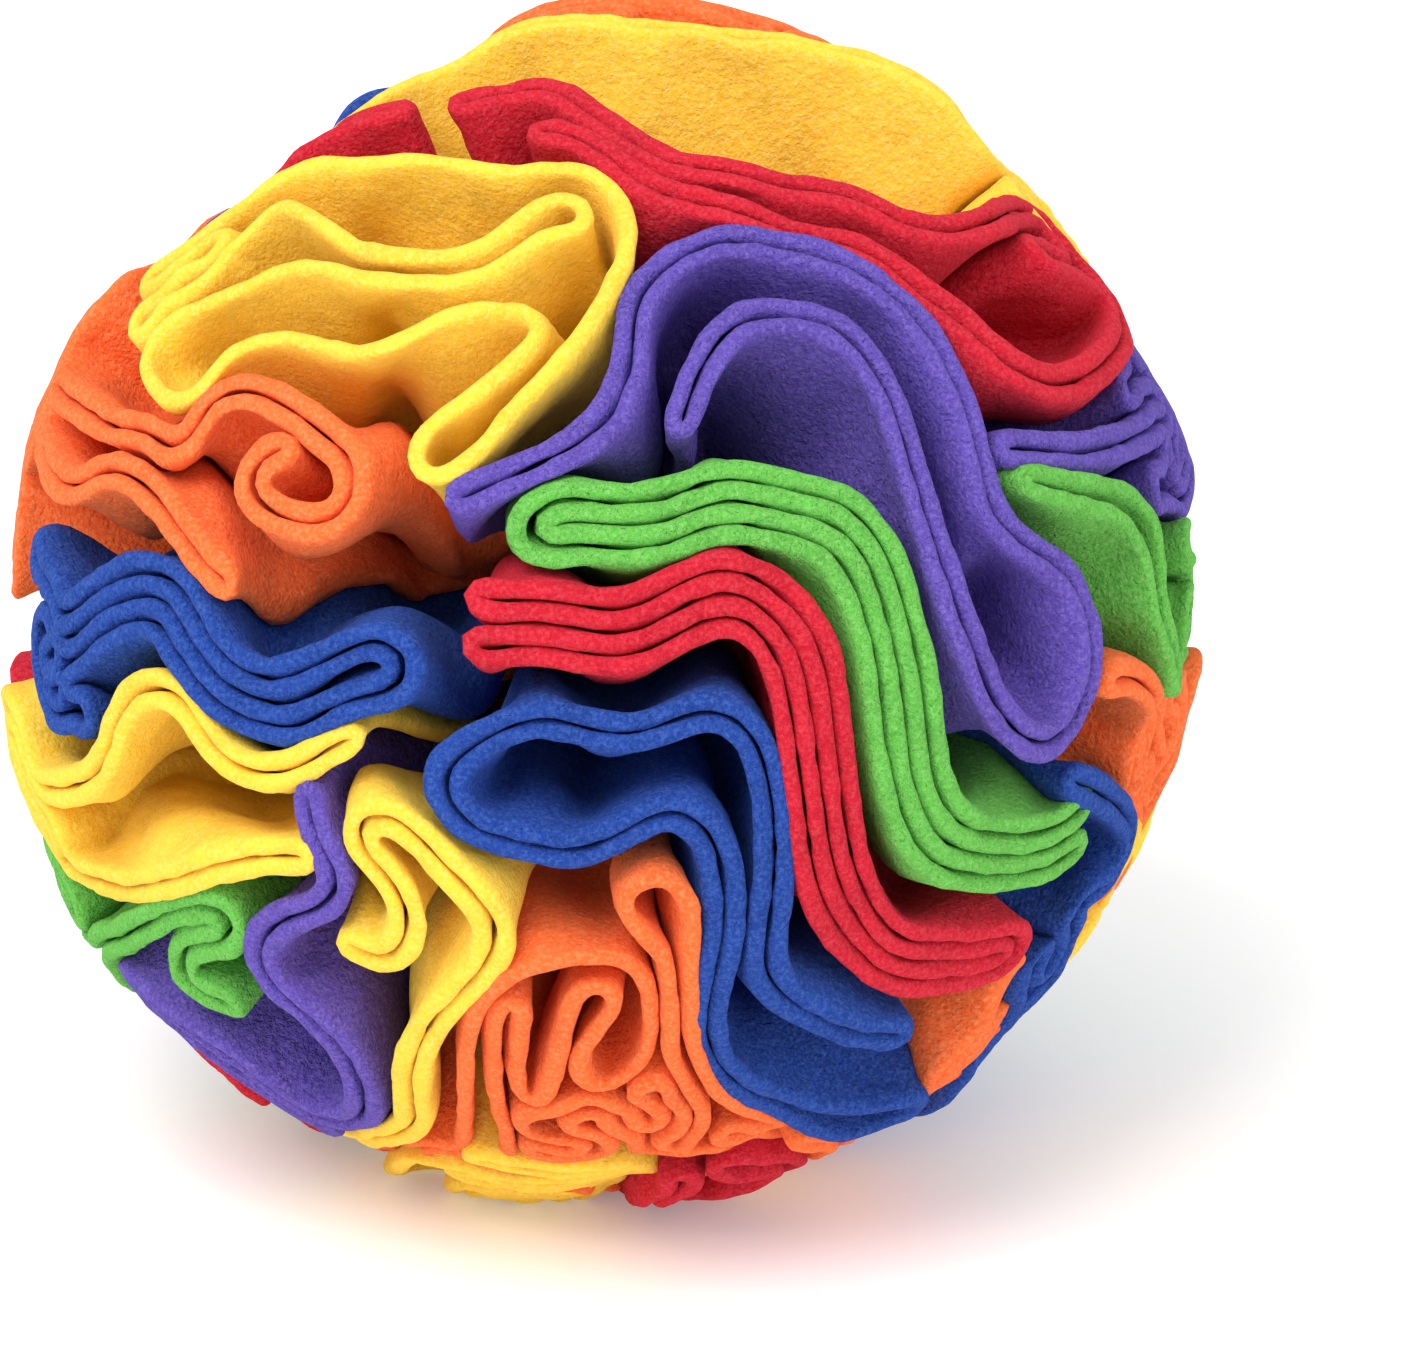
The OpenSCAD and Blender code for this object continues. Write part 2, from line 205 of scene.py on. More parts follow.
# The discs that show: given paths of their folds
RIMS = {
    "green_2": pack(
        face(
            (-7, 9), (-3, 9.7), (3, 9.7), (10, 11), (17, 12.2), (24, 11.8), (29.5, 9), (33.5, 3),
            (36, -5), (37.5, -13), (38.5, -21), (41.5, -28.5), (47.5, -31.5), (54.5, -30.5),
            (61, -27.5),
        ),
        "start",
    ),
    "red_3": pack(
        face(
            (-16, -1.8), (-8, -2.6), (2, -3.4), (12, 0.6), (19, 0.4), (24.5, -6), (26.6, -20),
            (28.6, -34), (33.5, -42.5), (42, -45), (51, -43.5),
        ),
        "end",
    ),
    "blue_1": pack(
        face(
            (-72, -9), (-67, -5), (-62, -0.5), (-57, 2), (-53.5, 0), (-50.5, -6), (-46, -11),
            (-40.5, -12.2), (-34, -9.6), (-27, -8),
        ),
        "end",
        pocket=0.8,
    ),
    "blue_2": ribbon(
        face(
            (37.2, -53), (29.9, -52.2), (23.2, -49.5), (20.2, -45), (20.6, -38.2), (21, -29.5),
            (20.1, -21), (18, -15.5), (13.5, -13), (9, -14.2), (4, -15.6), (-2, -15), (-8, -14.6),
            (-13.5, -15.2), (-18, -17.5), (-20, -21), (-18.8, -25), (-15, -28.4), (-10, -30.8),
            (-5, -31.2), (0, -29.4), (5, -26.6), (9.5, -25.4), (13, -28), (15, -33), (15.4, -39.5),
            (14.4, -46), (13.4, -52), (14.4, -57), (18.4, -61), (24.5, -63.2, 1.8),
            (31, -63.6, 4.2), (36, -62, 4.2),
        )
    ),
    "purple_2": ribbon(
        face(
            (-18, 12.5), (-14.5, 14.3), (-9.5, 16.2), (-3.5, 18.8), (1, 24), (3.2, 30.5),
            (3.7, 36.8), (5.8, 40.5), (9.2, 43.2), (13.5, 44.6), (18.5, 44.9), (24.5, 44.4),
            (30.6, 41.5), (36.6, 37.2), (41.6, 31.5), (44.8, 25.5), (46.8, 17.6), (48.5, 11),
            (52, 7.2), (56.6, 5), (59, 2), (60.3, -3.5), (60.2, -9.4), (58.6, -14.2), (55.4, -17.2),
            (51.6, -16.6), (48, -12), (44.6, -3.5), (41, 7), (38, 17), (35, 26), (31, 32.4),
            (26.2, 35.6), (21.2, 36.4), (16.6, 34.6), (13.4, 30.5), (11.2, 26), (9.6, 21.5),
        )
    ),
    "yellow_2": closed(
        (-64, 32.1), (-60.9, 37.4), (-55.3, 42), (-49.6, 46.3), (-45.3, 50.4), (-40.9, 53.3),
        (-35.3, 54.6), (-27.8, 54.9), (-20.3, 54.8), (-12.8, 53.9), (-6.5, 54), (-0.5, 53), (3, 50),
        (3.6, 45.5), (1.8, 40), (-2.3, 33.5), (-7.1, 27.6), (-11.6, 22.8), (-14.9, 18.4),
        (-18.6, 15.2), (-22, 15), (-23.4, 18), (-21.4, 21.2), (-17, 24.6), (-12.4, 28.2),
        (-8.4, 31.8), (-7.4, 34.9), (-10.6, 36.9), (-15, 36.9), (-19.6, 35.2), (-24, 32.4),
        (-29, 31.2), (-34, 32.4), (-39, 33.2), (-44, 32.2), (-47.6, 29.6), (-49.4, 26.4),
        (-52.6, 25.2), (-56, 27.4), (-57.6, 31), (-55.4, 34.4), (-50.8, 36.9), (-45.5, 39.2),
        (-40.2, 41.8), (-35.5, 42.6), (-29.8, 40.8), (-23.8, 39.4), (-17.6, 40), (-12.2, 42.6),
        (-8, 45.6), (-4.2, 45.4), (-1.6, 46.8), (-2, 49.4), (-5.6, 50.4), (-9.6, 48.6),
        (-13.6, 45.4), (-18.6, 43), (-24.2, 42.6), (-30, 44.4), (-35, 47.6), (-39.4, 49.6),
        (-43.6, 47.4), (-48, 43.6), (-53.4, 39.6), (-58.6, 34.6), (-61.6, 30.6),
    ),
    "red_2": ribbon(
        face(
            (-18.4, 62), (-12.8, 64), (-6.8, 64.4), (-1.5, 61.4), (4.8, 57.4), (12.3, 54.2),
            (19.8, 52.6), (27.3, 51.6), (33.5, 49.2), (38.6, 46.6), (43.5, 45.8), (47.9, 47),
            (52.3, 49.5), (57, 49.4), (60.4, 46.4), (63, 41.6), (64.2, 36.5), (63, 31.4),
            (59.1, 27.9), (54.4, 27), (50, 29), (45.4, 33.4), (41, 38.2), (36, 41.8), (29.8, 44.8),
            (22.3, 47), (14.8, 48.9), (8.5, 51.1), (2.3, 54.9), (-2.8, 58), (-8.5, 58.8),
        )
    ),
    "red_1": ribbon(
        face(
            (-25, 61.8), (-30.3, 61.4), (-36.5, 58.8), (-42.8, 54.8), (-48, 50.8), (-53, 47),
            (-57.5, 44.5), (-60, 44),
        )
    ),
    "yellow_1": ribbon(
        far(
            (-27, 88), (-22, 93), (-15, 96), (-6, 98), (6, 99), (18, 100), (30, 101), (40, 101.5),
            (47, 102.5), (48, 108), (43, 112.5), (35, 114), gap=1.6,
        )
    ),
    "orange_1": ribbon(far((-14, 109), (-4, 109.5), (6, 109.5), (16, 110.5), (26, 112.5))),
    "yellow_3": ribbon(
        face(
            (-29.8, -16.6), (-35.3, -18.4), (-40.9, -20.9), (-45.5, -20.9), (-49.2, -17.2),
            (-52.2, -12.6), (-55, -9.6), (-58.2, -10.2), (-60.6, -15), (-62.4, -20.6), (-66, -23),
            (-70.2, -22.6), (-71.4, -26), (-68, -30.6), (-64, -34), (-58.6, -35.4), (-52.6, -34.4),
            (-47, -32.4), (-41.6, -31), (-35.8, -31),
        )
    ),
    "green_1": ribbon(
        face(
            (-46, -50.2), (-50, -49.4), (-53, -46.4), (-51.2, -43.6), (-47.4, -42.8), (-45.6, -40.4),
            (-47.6, -38.2), (-53, -38.8), (-58.4, -40.6), (-61.6, -42),
        )
        + far((-60, -74), (-64, -86))
    ),
    "purple_1": ribbon(
        face(
            (-36.6, -22.4), (-36, -28), (-33.2, -32.6), (-32.6, -36), (-35.6, -37.9),
            (-39.6, -38.8), (-42.2, -41.2), (-42.6, -44.6), (-40.4, -47.8), (-37, -50.2),
            (-34, -53), (-31.4, -57), (-29.6, -61.5), (-30.8, -64.8), (-35.4, -63.6), (-41, -59.6),
            (-46.6, -55.2), (-51.4, -51.6), (-55.4, -48.6),
        )
        + far((-50, -58), (-44, -62), (-37, -63))
    ),
    "yellow_4": ribbon(
        face(
            (-32, -42), (-28.5, -44.8), (-24.8, -43.5), (-23.2, -39.5), (-25, -35.2),
            (-28.8, -31.7), (-30.2, -28.2), (-27.2, -26), (-23, -28), (-18.6, -32.8), (-14.8, -37),
            (-12.6, -41.5), (-14, -46), (-18, -49.5), (-21.8, -53), (-24, -57.5), (-24, -63),
            (-23.2, -68.5), (-22.4, -71),
        )
    ),
    "orange_4": closed(
        (-7.1, -44.9), (-4, -43.8), (-0.3, -43.2), (3.3, -44.4), (5.9, -47.6), (6.6, -52),
        (5.9, -56.4), (3.9, -59.5), (1, -61.1), (-2.1, -60.1), (-3.3, -57.3), (-1.5, -53.9),
        (1.3, -50.8), (2.1, -48.4), (-0.3, -46.8), (-3.1, -47.8), (-4.5, -52), (-5.5, -57.6),
        (-6.5, -62), (-8.6, -63.4), (-9.9, -60.8), (-9.7, -54.5), (-9.8, -50), (-11.9, -49.4),
        (-12.9, -53), (-12.7, -58), (-12.6, -64), (-11.4, -69), (-12, -74), (-16.5, -73.4),
        (-17.6, -68.4), (-17.2, -63.6), (-16.7, -59), (-15.9, -54.5), (-14.4, -49.6),
        (-11.4, -46.4),
    ),
    "orange_5": closed(
        (2.6, -36), (4.8, -33.9), (7.9, -33.6), (10.6, -35.8), (11.7, -39.5), (11.5, -45.1),
        (11.7, -50.8), (12.3, -56), (15, -61), (20.5, -64.4), (24, -66), (24, -68.8),
        (18.4, -70.8), (13, -72), (9, -71), (11.4, -67), (12.6, -64), (10.2, -60.2),
        (8.7, -57), (8.9, -52.8), (8.8, -48), (8.4, -44.5), (6, -41.6), (3.6, -39.2),
    ),
    "orange_2": ribbon(
        far((-52, 108), (-58, 98), (-62, 88))
        + face(
            (-67, 27), (-64.6, 24.5), (-62, 22), (-57, 22), (-53.5, 19.4), (-50.6, 20.6),
            (-49.3, 24.2), (-45.3, 26.2), (-40, 25), (-34.8, 21.6), (-31.2, 17.4), (-31, 13),
            (-34.5, 10.4), (-39.5, 10.6), (-43.6, 13.4), (-42, 17.6), (-38.6, 19.6),
        )
    ),
    "orange_3": ribbon(
        far((-66, 118), (-70, 106), (-72, 92))
        + face(
            (-70.6, 20), (-67, 14), (-62, 16.6), (-57.4, 15.4), (-53.4, 10.8), (-50.2, 6),
            (-46, 1.6),
        )
    ),
    "yellow_5": ribbon(far((-13, -51), (-5, -50), (2, -51), (4, -57), (-3, -61), (-11, -60))),
    "yellow_6": ribbon(far((40, -78), (50, -80), (60, -82), (66, -84))),
    "orange_6": ribbon(
        face((63, -9.8), (67, -9.8), (70.2, -12), (71.8, -16), (71.2, -20.2), (69.4, -23.6))
        + far((74, -46), (79, -60))
    ),
    "orange_7": ribbon(
        far((45, -70), (38, -66), (33, -58)) + face((41, -60), (45, -57), (49.2, -54.2), (52.6, -51.2))
    ),
    "blue_3": ribbon(
        face(
            (58.4, -21.6), (63.6, -24.8), (67.4, -28.2), (67, -31.8), (63, -36), (59.8, -39.4),
            (60.4, -42.8), (58.8, -46), (55.6, -49.2),
        )
        + far((54, -64), (62, -68))
    ),
    "green_3": ribbon(
        face(
            (52, 15.4), (58, 14.2), (63.5, 13, 1.8), (67.6, 9.6, 2.8), (69, 4.5, 2.0), (69.4, -0.6, 1.6),
            (71.2, -5.4), (72.6, -10),
        )
        + far((81, -8), (84, 60), (80, 110))
    ),
    "purple_3": ribbon(
        face(
            (50, 18.8), (56, 19.1), (62.8, 19.8), (68, 21.4), (70.4, 25), (69.2, 29.5), (66.4, 33.6),
        )
        + far((66, 108), (62, 120), (54, 124))
    ),
    "red_4": ribbon(far((-46, -70), (-50, -78), (-48, -88), (-40, -92))),
    "red_5": ribbon(
        far((9, -67), (14, -67), (21, -67), (28, -67), (32, -72), (27, -79), (18, -80)),
    ),
}

# The face map's middle, which the camera looks at
VIEW = near(0, 0)

# Least length of a rim: a shorter one couldn't belong to a disc of this size
RIM_LENGTH = 420.0

# The growth's stages and pace: the spacing of points, and how much length a stage adds
GROW_STEP = 2.0
STAGES = 64
STEPS = 10
PACE = 0.08
SLOW_PACE = 0.02
SLOW_FROM = 0.85
LEAST_FREE = 200.0
MOST_STRETCH = 1.35
# How firmly points are held to where they were laid: in view, out of view, and on the far side
HELD = 0.7
TETHER = 0.001
LOOSELY_HELD = 0.04
HOLD_FADE = 0.1
EDGE = 0.12
FREE_SHARE = 0.12
GROWS_BELOW = 8
# The field that starts the folds: seed, waves and turn, then its size and when it stops
GROW_FIELD = (7, 6, 0.11)
NUDGE = 0.22
NUDGE_UNTIL = 0.7
# Keeping apart: the distance, how far to look, and how far along one rim points are neighbours
APART = LAYER * 1.03
LOOKOUT = 2.5
NEXT_TO = 1.7
BATCH = 1000
PUSH_GAIN = 1.3
STRETCH_GAIN = 0.7
TINY = 1e-9
# Shares by hops along the rim: how much it is smoothed, and how little it may be bent
SMOOTHING = ((1, 0.5), (2, 0.3), (3, 0.10))
STIFFNESS = ((1, 1.0), (2, 0.88), (3, 0.72))
STRETCH_PASSES = 4
PUSH_PASSES = 3
# The unevenness of hidden rims: its size, its field, and how far round the ball it fades in
WARP_SIZE = 1.9
WARP_FIELD = (11, 8, 0.085)
WARP_FADE = (-0.2, 0.1)


class Sway:
    """A smooth field of sideways moves: a sum of a few plane waves."""

    def __init__(self, seed, count, turn):
        rng = np.random.default_rng(seed)
        self.waves = rng.normal(size=(count, 3)) * turn
        self.ways = rng.normal(size=(count, 3))
        self.phases = rng.uniform(0, 2 * math.pi, count)

    def __call__(self, x):
        out = np.zeros_like(x)
        for wave, way, phase in zip(self.waves, self.ways, self.phases):
            out += np.sin(x @ wave + phase)[..., None] * way
        return out


def warped(v, field):
    """Directions moved by the field, but not where they face the viewer."""
    hidden = 1 - eased(v @ VIEW, *WARP_FADE)
    return unit(v * BALL_R + WARP_SIZE * hidden[:, None] * field(v * BALL_R))


class Growth:
    """Closed rims on the sphere that grow to a disc's length and keep one layer apart."""

    def __init__(self, rims, least, loosely_held):
        self.names = list(rims)
        self.field = Sway(*GROW_FIELD)
        self.curves, self.homes, self.full, self.level, self.start = [], [], [], [], []
        for name in self.names:
            x = unit(rims[name]) * BALL_R
            loop = np.vstack([x, x[:1]])
            at = np.concatenate([[0], np.cumsum(np.linalg.norm(np.diff(loop, axis=0), axis=1))])
            faces = x @ VIEW / BALL_R
            edge = max(EDGE, np.quantile(faces, FREE_SHARE)) if at[-1] < least else EDGE
            self.homes.append((at, loop, edge, name in loosely_held))
            self.curves.append(np.hstack([x, at[:-1, None]]))
            self.full.append(max(least, at[-1]))
            self.level.append(at[-1])
            self.start.append(at[-1])

    def home(self, k, at):
        """Where points of rim k belong, by their distance along it as it was laid, and how firmly."""
        along, loop, edge, loose = self.homes[k]
        place = np.stack([np.interp(at, along, loop[:, i]) for i in range(3)], axis=1)
        hold = HELD * np.clip((place @ VIEW / BALL_R - edge) / HOLD_FADE, 0, 1)
        return place, np.maximum(hold, LOOSELY_HELD if loose else TETHER)[:, None]

    def gather(self, pace):
        """Resamples every rim, lets its free stretches grow, and joins all rims into flat arrays."""
        rest, places, holds = [], [], []
        for k, curve in enumerate(self.curves):
            now = length(curve)
            count = int(now / GROW_STEP)
            last = curve[:1].copy()
            last[0, 3] = self.homes[k][0][-1]
            self.curves[k] = curve = resample(np.vstack([curve, last]), count + 1, False)[:-1]
            place, hold = self.home(k, curve[:, 3])
            places.append(place)
            holds.append(hold)
            free = 1 - np.clip(hold[:, 0] * GROWS_BELOW, 0, 1)
            step = now / count
            loose = free.sum() * step
            if loose < 1:
                rest.append(np.full(count, self.start[k] / count))
                continue
            self.level[k] = min(self.level[k] + pace * max(loose, LEAST_FREE), self.full[k])
            stretch = min((self.level[k] - (now - loose)) / loose, MOST_STRETCH)
            rest.append(step * (1 + (stretch - 1) * free))
        sizes = [len(c) for c in self.curves]
        flat = np.vstack(self.curves)
        self.x, self.at = flat[:, :3], flat[:, 3:]
        self.laid, self.hold = np.vstack(places), np.vstack(holds)
        self.rest = np.concatenate(rest)
        self.ring = np.repeat(np.arange(len(sizes)), sizes)
        self.size = np.repeat(sizes, sizes)
        self.place = np.concatenate([np.arange(s) for s in sizes])
        self.first = np.repeat(np.cumsum([0] + sizes[:-1]), sizes)

    def hop(self, k):
        """Each point's k-th neighbour along its own rim."""
        return self.first + (self.place + k) % self.size

    def scatter(self):
        """Splits the flat arrays back into rims."""
        flat = np.hstack([self.x, self.at])
        self.curves = np.split(flat, np.cumsum([len(c) for c in self.curves])[:-1])

    def neighbours(self, reach):
        """Pairs of points nearer than reach that aren't next to each other on one rim."""
        u = (self.x / BALL_R).astype(np.float32)
        pairs = [], []
        for low in range(0, len(u), BATCH):
            i, j = np.nonzero(u[low : low + BATCH] @ u.T > math.cos(reach / BALL_R))
            i = i + low
            pairs[0].append(i[j > i])
            pairs[1].append(j[j > i])
        i, j = np.concatenate(pairs[0]), np.concatenate(pairs[1])
        hops = np.abs(i - j)
        hops = np.minimum(hops, self.size[i] - hops)
        along = (self.ring[i] == self.ring[j]) & (hops * GROW_STEP < NEXT_TO * LAYER)
        return i[~along], j[~along]

    def push(self, i, j):
        """Moves apart the points of each pair that are too near."""
        n = len(self.x)
        d = self.x[j] - self.x[i]
        dist = np.linalg.norm(d, axis=1) + TINY
        hit = dist < APART
        part = np.where(hit, (APART - dist) / dist * 0.5, 0)[:, None] * d
        move = [np.bincount(j, part[:, k], n) - np.bincount(i, part[:, k], n) for k in range(3)]
        hits = np.bincount(i, hit, n) + np.bincount(j, hit, n)
        self.x = self.x + np.stack(move, axis=1) / np.maximum(hits, 1)[:, None] * PUSH_GAIN

    def relax(self):
        """Grows all the rims together, stage by stage."""
        for stage in range(STAGES):
            self.gather(PACE if stage < SLOW_FROM * STAGES else SLOW_PACE)
            i, j = self.neighbours(APART + LOOKOUT)
            spans = {k: (self.hop(k), self.hop(-k), k * share * self.rest) for k, share in STIFFNESS}
            rings = [(self.hop(k), self.hop(-k), w) for k, w in SMOOTHING]
            free = 1 - np.clip(self.hold * GROWS_BELOW, 0, 1)
            for step in range(STEPS):
                for way_on, way_back, weight in rings:
                    self.x = self.x + weight * (0.5 * (self.x[way_on] + self.x[way_back]) - self.x)
                for _ in range(STRETCH_PASSES):
                    for span, (ahead, behind, least) in spans.items():
                        d = self.x[ahead] - self.x
                        dist = np.linalg.norm(d, axis=1) + TINY
                        short = dist - least
                        if span > 1:
                            short = np.minimum(short, 0)
                        fix = (short / dist * 0.5)[:, None] * d
                        self.x = self.x + STRETCH_GAIN * (fix - fix[behind])
                for _ in range(PUSH_PASSES):
                    self.push(i, j)
                if step == 0 and stage < NUDGE_UNTIL * STAGES:
                    self.x = self.x + NUDGE * free * self.field(self.x)
                self.x = unit(self.x + self.hold * (self.laid - self.x)) * BALL_R
            self.scatter()


# The far side's discs: row and side
FAR_WEDGES = {
    "blue_4": (0, -1), "green_4": (1, -1), "red_6": (1, 1), "purple_4": (2, -1), "blue_5": (2, 1),
    "green_5": (3, -1), "yellow_7": (3, 1), "blue_7": (4, -1), "purple_5": (4, 1), "red_7": (5, -1),
    "green_6": (5, 1), "purple_6": (6, -1), "blue_6": (6, 1), "green_7": (7, -1), "purple_7": (7, 1),
}

# The order in which the discs are strung on the tie, from its head onwards
STRUNG = (
    "green_7 purple_7 yellow_6 red_4 red_5 yellow_5 blue_3 orange_7 green_1 orange_4 yellow_4 purple_1 "
    "orange_6 orange_5 yellow_3 blue_2 blue_1 red_3 orange_3 green_2 orange_2 green_3 purple_2 purple_3 "
    "yellow_2 red_2 red_1 yellow_1 orange_1 blue_4 green_4 red_6 blue_5 purple_4 green_5 yellow_7 "
    "purple_5 blue_7 red_7 green_6 blue_6 purple_6"
).split()


def tip_place(name):
    """Where a disc's tip is on the loop, from the ball's centre."""
    share = (STRUNG.index(name) + 0.5) / len(STRUNG)
    turn = math.radians(HEAD_SIDE + HEAD_GAP / 2 + (360 - HEAD_GAP) * share)
    return LOOP_R * np.array([0, -math.cos(turn), math.sin(turn)])


NOISE_CELLS = 32


def noise(points, size, seed):
    """Smooth value noise from -1 to 1: random values on a grid of that cell size, blended between."""
    table = np.random.default_rng(seed).uniform(-1, 1, (NOISE_CELLS,) * 3)
    p = points / size + 0.5
    cell = np.floor(p).astype(int)
    t = p - cell
    t = t * t * (3 - 2 * t)
    out = np.zeros(points.shape[:-1])
    for corner in np.ndindex(2, 2, 2):
        share = np.prod(np.where(corner, t, 1 - t), axis=-1)
        i, j, k = np.moveaxis((cell + corner) % NOISE_CELLS, -1, 0)
        out += share * table[i, j, k]
    return out


# The wall of fleece: half its thickness, the height of its rounded rim, and where it leaves the wedge
HALF_WALL = 1.22
ROUND_H = 1.25
WEDGE_INNER_R = 34.0
WALL_STEP = 1.15
ROUGH_KEPT = 0.4
# Rows down a wall's face, as shares of the way from the tip to the inner radius, then on to the rim
NECK_ROWS = np.array([0.08, 0.3, 0.6])
FACE_ROWS = np.array([0, 0.12, 0.24, 0.36, 0.48, 0.58, 0.67, 0.75, 0.82, 0.88, 0.925, 0.96, 0.985])
ROUND_TURNS = np.radians([-75, -50, -25, 0, 25, 50, 75])
# How far the walls bend as they go in, and how much the hidden depths crumple
BEND = 1.5
CRUMPLES = (0.5, 0.9, 1.3, 1.7, 2.1, 2.5)
LEAST_AREA = 0.73 * math.pi * BALL_R**2
# Unevenness of the rims' height, broad and fine, and of the napped surface
RIM_BROAD = 1.0
EDGE_BROAD = 3.2
RIM_FINE = 0.45
NAP = 0.22
BROAD_SIZE = 24.0
FINE_SIZE = 7.0
NAP_SIZE = 2.2
NAP_SEED = 40
# How far the rims are set in from the ball's radius and up from the floor, and their roundness
SET_IN = 0.6
FLOOR_GAP = 0.3
ROUND_POWER = 0.8
# Where effects fade in: round the ball's edge, in the hidden depths, and out where the nap shows
EDGE_FADE = (0.15, 0.5)
DEPTHS_START = (20, 30)
DEPTHS_END = (44, 54)
NAP_START = (50, 60)
# Curves of the rim: rounds of smoothing, and points to a span
RIM_ROUNDS = 2
RIM_SPAN = 4

bend_field = Sway(3, 5, 0.10)
crumple_field = Sway(5, 6, 0.42)

# Rims that stand out from the ball, as direction, height and reach
BULGES = (
    (near(55, 38), 3.5, 16.0),
    (near(36, -62), 1.6, 14.0),
    (near(70, 24), 2.0, 12.0),
    (near(58, -44), -4.0, 12.0),
    (near(-42, 60), -3.0, 16.0),
    (near(-37, 56), 2.5, 10.0),
    (around(-34, 115), -9.5, 22.0),
    (around(-20, 110), -5.0, 13.0),
)


def rim_radius(u, seed):
    """How far from the centre the fleece ends, in each direction."""
    x = u * BALL_R
    edge = 1 - eased(u @ VIEW, *EDGE_FADE)
    out = BALL_R - SET_IN + (RIM_BROAD + EDGE_BROAD * edge) * noise(x, BROAD_SIZE, seed)
    out = out + RIM_FINE * noise(x, FINE_SIZE, seed + 1)
    for way, height, reach in BULGES:
        out = out + height * np.exp(-(((x - way * BALL_R) ** 2).sum(-1)) / reach**2)
    floor = (CENTRE_Z - FLOOR_GAP) / np.maximum(-u[:, 2], 1e-6)
    return np.where(u[:, 2] < 0, np.minimum(out, floor), out)


def disc_mesh(name, ring, crumple):
    """A disc's closed wall: both faces from the tip to the rim, and the rounded rim between them."""
    x = ring
    for _ in range(RIM_ROUNDS):
        smooth = 0.5 * x + 0.25 * (np.roll(x, 1, 0) + np.roll(x, -1, 0))
        x = smooth + ROUGH_KEPT * (x - smooth)
    x = spline(x, True, RIM_SPAN)
    x = resample(x, int(length(x) / WALL_STEP), True)
    u = unit(x)
    side = unit(np.cross(u, np.roll(u, -1, 0) - np.roll(u, 1, 0)))
    rim = rim_radius(u, sum(map(ord, name)))
    end = rim - ROUND_H
    half = HALF_WALL / BALL_R
    tip = tip_place(name)
    rows = []
    for way in (-1, 1):
        wall = unit(u + way * half * side)
        inner = wall * WEDGE_INNER_R
        neck = [tip + (inner - tip) * t for t in NECK_ROWS]
        face_r = [WEDGE_INNER_R + (end - WEDGE_INNER_R) * f for f in FACE_ROWS]
        rows.append(neck + [wall * r[:, None] for r in face_r])
    top = []
    for turn in ROUND_TURNS:
        way = unit(u + math.sin(turn) * half * side)
        top.append(way * (end + ROUND_H * math.cos(turn) ** ROUND_POWER)[:, None])
    grid = np.array(rows[0] + top + rows[1][::-1])
    reach = np.linalg.norm(grid, axis=-1)
    depth = np.clip((reach - WEDGE_INNER_R) / (BALL_R - WEDGE_INNER_R), 0, 1)
    grid = grid + (BEND * 4 * depth * (1 - depth))[..., None] * bend_field(grid)
    hidden = eased(reach, *DEPTHS_START) * (1 - eased(reach, *DEPTHS_END))
    grid = grid + (crumple * hidden)[..., None] * crumple_field(grid)
    along = np.roll(grid, -1, 1) - np.roll(grid, 1, 1)
    down = np.roll(grid, -1, 0) - np.roll(grid, 1, 0)
    out = unit(np.cross(along, down) + TINY)
    lift = NAP * eased(reach, *NAP_START) * noise(grid, NAP_SIZE, NAP_SEED + len(ring))
    grid = grid + lift[..., None] * out
    grid = grid + CENTRE
    grid[..., 2] = np.maximum(grid[..., 2], 0.0)
    return grid


def face_area(grid):
    """Half the closed wall's area: the area of the fleece."""
    a, b, c = grid, np.roll(grid, -1, 1), np.roll(grid, -1, 0)
    d = np.roll(b, -1, 0)
    one = np.linalg.norm(np.cross(b - a, d - a), axis=-1).sum()
    return (one + np.linalg.norm(np.cross(d - a, c - a), axis=-1).sum()) / 4


def disc_wall(name, ring):
    """The wall, crumpled as much in its depths as a disc of this size needs."""
    for crumple in CRUMPLES:
        grid = disc_mesh(name, ring, crumple)
        if face_area(grid) > LEAST_AREA:
            break
    return grid


def volume(grid):
    """Signed volume of a closed grid, to tell which way its faces turn."""
    a, b, c = grid, np.roll(grid, -1, 1), np.roll(grid, -1, 0)
    d = np.roll(b, -1, 0)
    one = (a * np.cross(b, d)).sum()
    return one + (a * np.cross(d, c)).sum()


def add_grid(name, grid, material):
    """A mesh object from a grid that closes on itself both ways."""
    if volume(grid - CENTRE) < 0:
        grid = grid[::-1]
    rows, count = grid.shape[:2]
    index = np.arange(rows * count).reshape(rows, count)
    right, down = np.roll(index, -1, 1), np.roll(index, -1, 0)
    quads = np.stack([index, right, np.roll(right, -1, 0), down], axis=-1).reshape(-1, 4)
    mesh = bpy.data.meshes.new(name)
    mesh.vertices.add(rows * count)
    mesh.vertices.foreach_set("co", (grid.reshape(-1, 3) / 1000).ravel())
    mesh.loops.add(quads.size)
    mesh.loops.foreach_set("vertex_index", quads.ravel())
    mesh.polygons.add(len(quads))
    mesh.polygons.foreach_set("loop_start", np.arange(len(quads)) * 4)
    mesh.polygons.foreach_set("use_smooth", np.ones(len(quads), bool))
    mesh.update(calc_edges=True)
    mesh.materials.append(material)
    made = bpy.data.objects.new(name, mesh)
    bpy.context.scene.collection.objects.link(made)
    return made


def linear(rgb):
    """An sRGB colour, 0 to 255, as the linear values that a shader takes."""
    c = np.array(rgb) / 255
    return [*np.where(c <= 0.04045, c / 12.92, ((c + 0.055) / 1.055) ** 2.4), 1.0]


